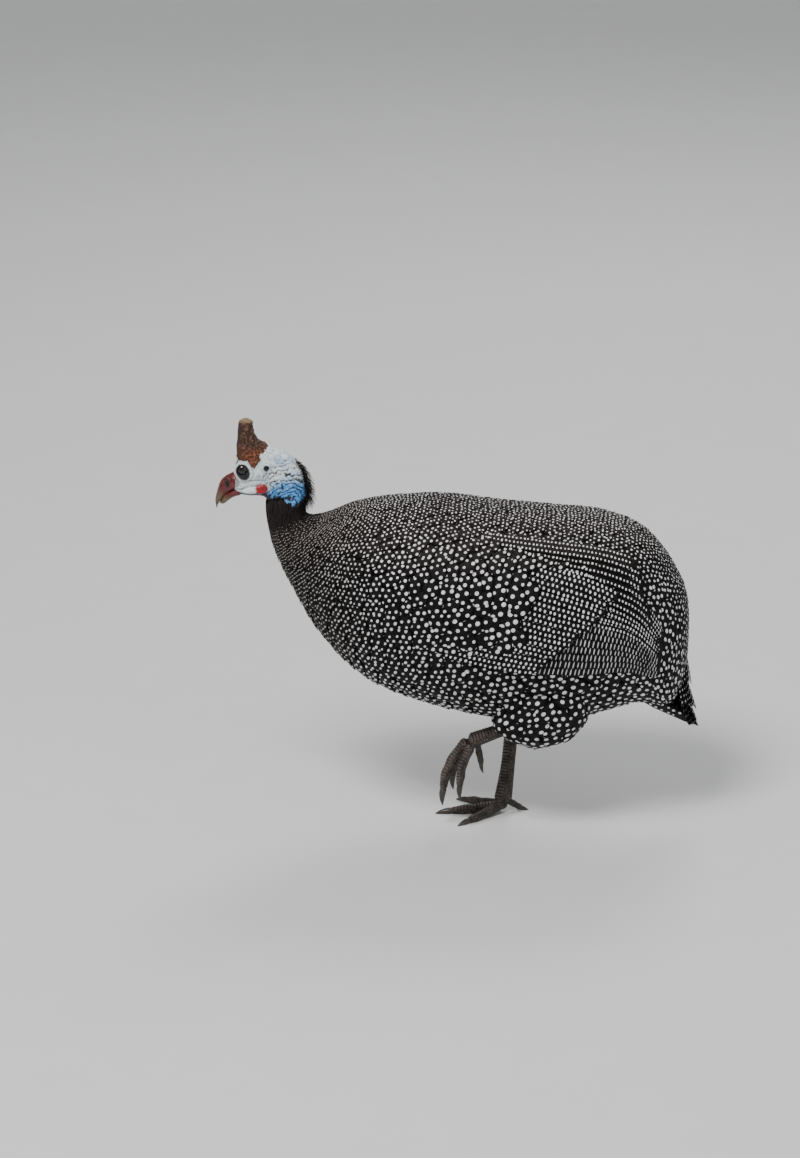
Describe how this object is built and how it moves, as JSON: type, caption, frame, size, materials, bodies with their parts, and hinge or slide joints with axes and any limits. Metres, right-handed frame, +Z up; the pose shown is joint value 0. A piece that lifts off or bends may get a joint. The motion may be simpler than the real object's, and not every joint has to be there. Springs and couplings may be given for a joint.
{
  "type": "guinea fowl",
  "caption": "Walking helmeted guinea fowl with one foot raised, round spotted body, folded wings, short drooping tail, bare head with a bony casque and wattles.",
  "frame": {"origin": "centre of the outline seen from above, at the floor under the standing foot", "axes": "+Z up, -X the way the bird faces, -Y its left side"},
  "size_m": [0.4612, 0.189, 0.4048],
  "materials": {
    "plumage": "matt black feathers with small round white dots",
    "neck": "short dark brown-black feathers with fine pale bars",
    "skin": "bare wrinkled skin, white on the face and blue on the nape",
    "casque": "rough pitted horn, dark brown in front and orange-brown behind",
    "bill": "smooth horn, red at the root and olive-brown at the tip",
    "wattle": "soft red skin",
    "eye": "wet and nearly black",
    "leg": "dark brown-grey horny scales",
    "claw": "smooth dark horn"
  },
  "bodies": {
    "root": {"torso": "plumage", "neck": "neck", "casque": "casque", "head": "skin", "bill_lower": "bill", "bill_upper": "bill", "tail": "plumage", "eye_left": "eye", "wattle_left": "wattle", "wing_left": "plumage", "thigh_left": "plumage", "shank_left": "leg", "toe_left_middle": "leg", "claw_left_middle": "claw", "toe_left_inner": "leg", "claw_left_inner": "claw", "toe_left_outer": "leg", "claw_left_outer": "claw", "toe_left_hind": "leg", "claw_left_hind": "claw", "eye_right": "eye", "wattle_right": "wattle", "wing_right": "plumage", "thigh_right": "plumage", "shank_right": "leg", "toe_right_middle": "leg", "claw_right_middle": "claw", "toe_right_inner": "leg", "claw_right_inner": "claw", "toe_right_outer": "leg", "claw_right_outer": "claw", "toe_right_hind": "leg", "claw_right_hind": "claw"}
  },
  "joints": []
}
